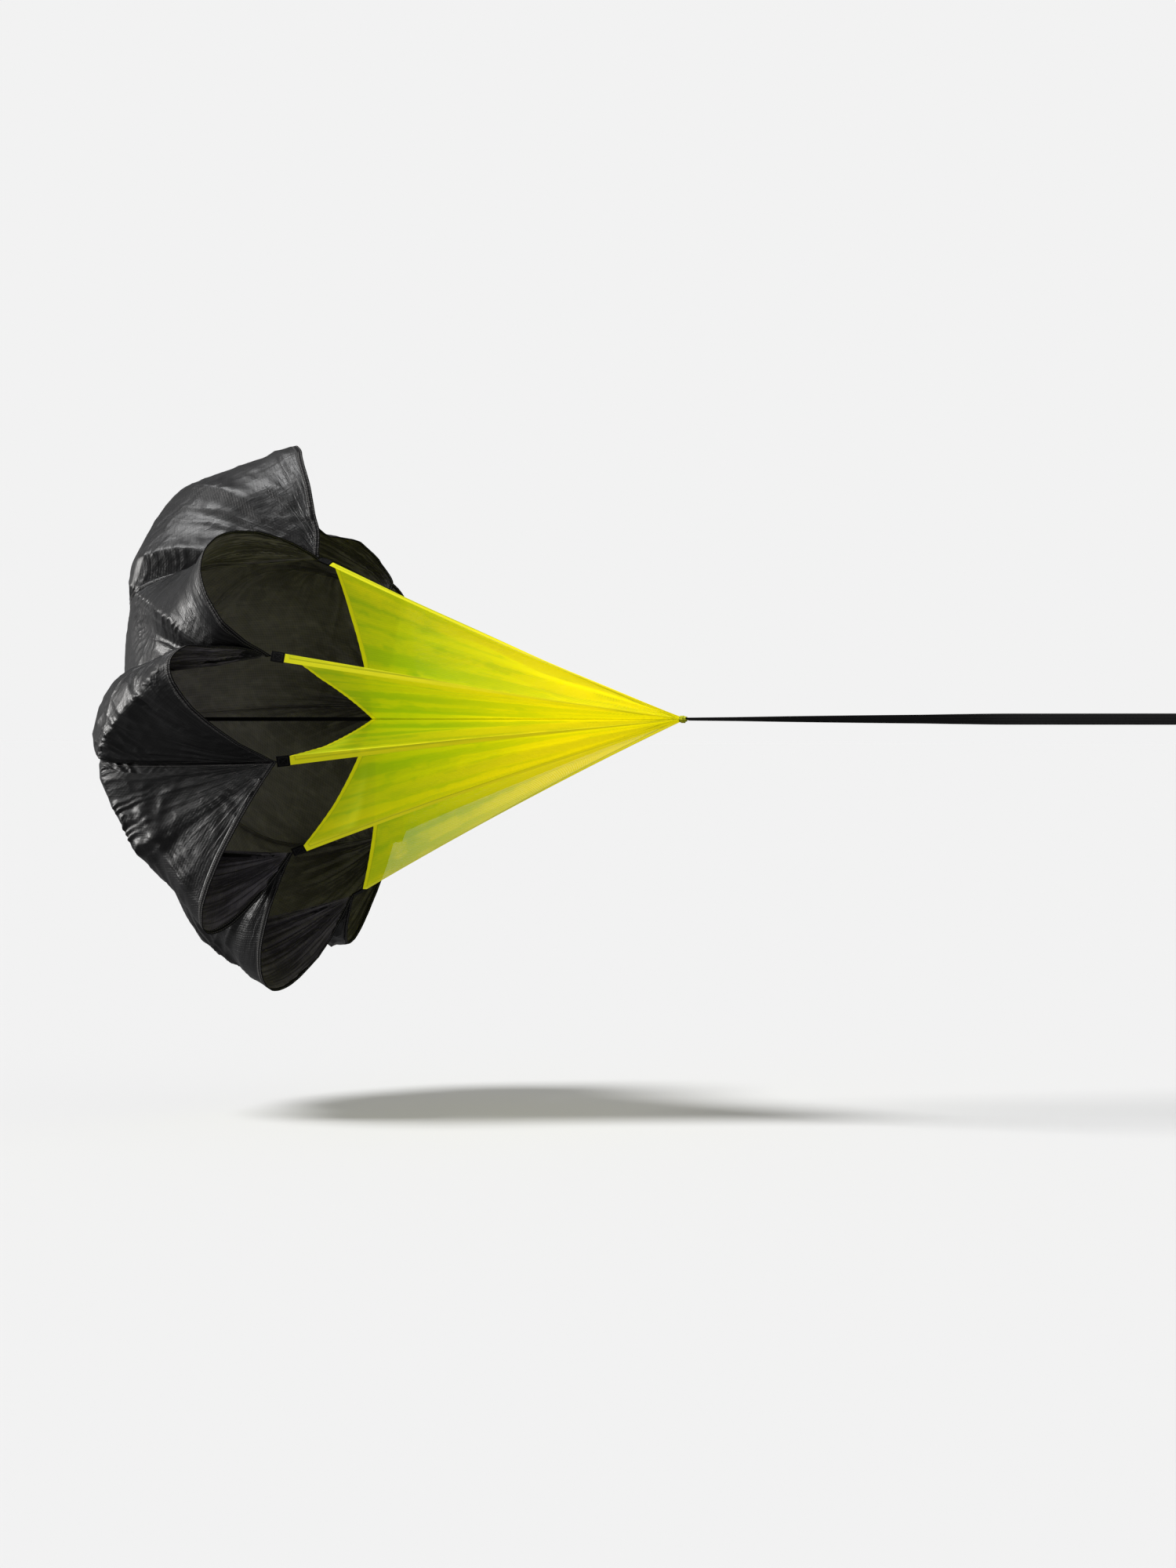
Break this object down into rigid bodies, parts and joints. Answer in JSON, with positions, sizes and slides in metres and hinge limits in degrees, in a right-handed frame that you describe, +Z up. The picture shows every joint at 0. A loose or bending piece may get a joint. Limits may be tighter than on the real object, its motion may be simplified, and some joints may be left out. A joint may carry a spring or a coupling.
{
  "type": "speed parachute",
  "caption": "Running resistance parachute: a lobed nylon canopy on a see-through mesh cone, pulled by a webbing tether from a padded waist belt.",
  "frame": {"origin": "the middle of the waist, level with the middle of the belt's height", "axes": "+X the way the runner goes, so the canopy flies at -X; +Y to the runner's left; +Z up"},
  "size_m": [2.4904, 0.8986, 1.0223],
  "materials": {
    "canopy_nylon": "satin ripstop nylon",
    "yellow_mesh": "open knitted mesh",
    "black_webbing": "woven webbing",
    "pad_fabric": "padded cloth",
    "black_plastic": "moulded satin",
    "nickel_steel": "nickel plated"
  },
  "bodies": {
    "waist_belt": {"belt_pad": "pad_fabric", "belt_webbing": "black_webbing", "pad_keeper_1": "black_webbing", "pad_keeper_2": "black_webbing", "pad_keeper_3": "black_webbing", "pad_keeper_4": "black_webbing", "tail_keeper": "black_webbing", "ring_anchor": "black_webbing", "buckle_female": "black_plastic", "buckle_male": "black_plastic"},
    "prong_up": {"prong_upper": "black_plastic"},
    "prong_down": {"prong_lower": "black_plastic"},
    "ring": {"d_ring": "nickel_steel"},
    "hook": {"hook_body": "nickel_steel", "gate_pin": "nickel_steel"},
    "gate": {"hook_gate": "nickel_steel"},
    "chute": {"swivel_eye": "nickel_steel", "tether_loop": "black_webbing", "tether_strap": "black_webbing", "tip_binding": "yellow_mesh", "tip_tag": "yellow_mesh", "fin_seam_cord": "yellow_mesh", "centre_line": "black_webbing", "crown_patch_outer": "canopy_nylon", "crown_patch_inner": "canopy_nylon", "mesh_fin_1": "yellow_mesh", "mesh_fin_2": "yellow_mesh", "mesh_fin_3": "yellow_mesh", "mesh_fin_4": "yellow_mesh", "mesh_fin_5": "yellow_mesh", "mesh_fin_6": "yellow_mesh", "mesh_fin_7": "yellow_mesh", "mesh_fin_8": "yellow_mesh", "corner_tab_1": "black_webbing", "corner_tab_2": "black_webbing", "corner_tab_3": "black_webbing", "corner_tab_4": "black_webbing", "corner_tab_5": "black_webbing", "corner_tab_6": "black_webbing", "corner_tab_7": "black_webbing", "corner_tab_8": "black_webbing", "canopy_gore_1": "canopy_nylon", "canopy_gore_2": "canopy_nylon", "canopy_gore_3": "canopy_nylon", "canopy_gore_4": "canopy_nylon", "canopy_gore_5": "canopy_nylon", "canopy_gore_6": "canopy_nylon", "canopy_gore_7": "canopy_nylon", "canopy_gore_8": "canopy_nylon"}
  },
  "joints": [
    {"name": "ring_yaw", "type": "hinge", "parent": "waist_belt", "child": "ring", "pos_m": [-0.1155, 0, 0], "axis": [0, 0, 1], "range_deg": [-60, 60]},
    {"name": "hook_pitch", "type": "hinge", "parent": "ring", "child": "hook", "pos_m": [-0.1367, 0, 0], "axis": [0, 1, 0], "range_deg": [0, 35]},
    {"name": "swivel_spin", "type": "hinge", "parent": "hook", "child": "chute", "pos_m": [-0.1875, 0, 0], "axis": [1, 0, 0], "continuous": true},
    {"name": "gate_swing", "type": "hinge", "parent": "hook", "child": "gate", "pos_m": [-0.1745, 0.011, 0], "axis": [0, 0, -1], "range_deg": [0, 25], "stiffness_Nm_per_rad": 0.02, "springref_deg": -11.46},
    {"name": "prong_upper_squeeze", "type": "hinge", "parent": "waist_belt", "child": "prong_up", "pos_m": [0.1156, 0, 0.0166], "axis": [-1, 0, 0], "range_deg": [0, 10], "stiffness_Nm_per_rad": 0.05, "springref_deg": -5.73},
    {"name": "prong_lower_squeeze", "type": "hinge", "parent": "waist_belt", "child": "prong_down", "pos_m": [0.1156, 0, -0.0166], "axis": [1, 0, 0], "range_deg": [0, 10], "stiffness_Nm_per_rad": 0.05, "springref_deg": -5.73}
  ]
}
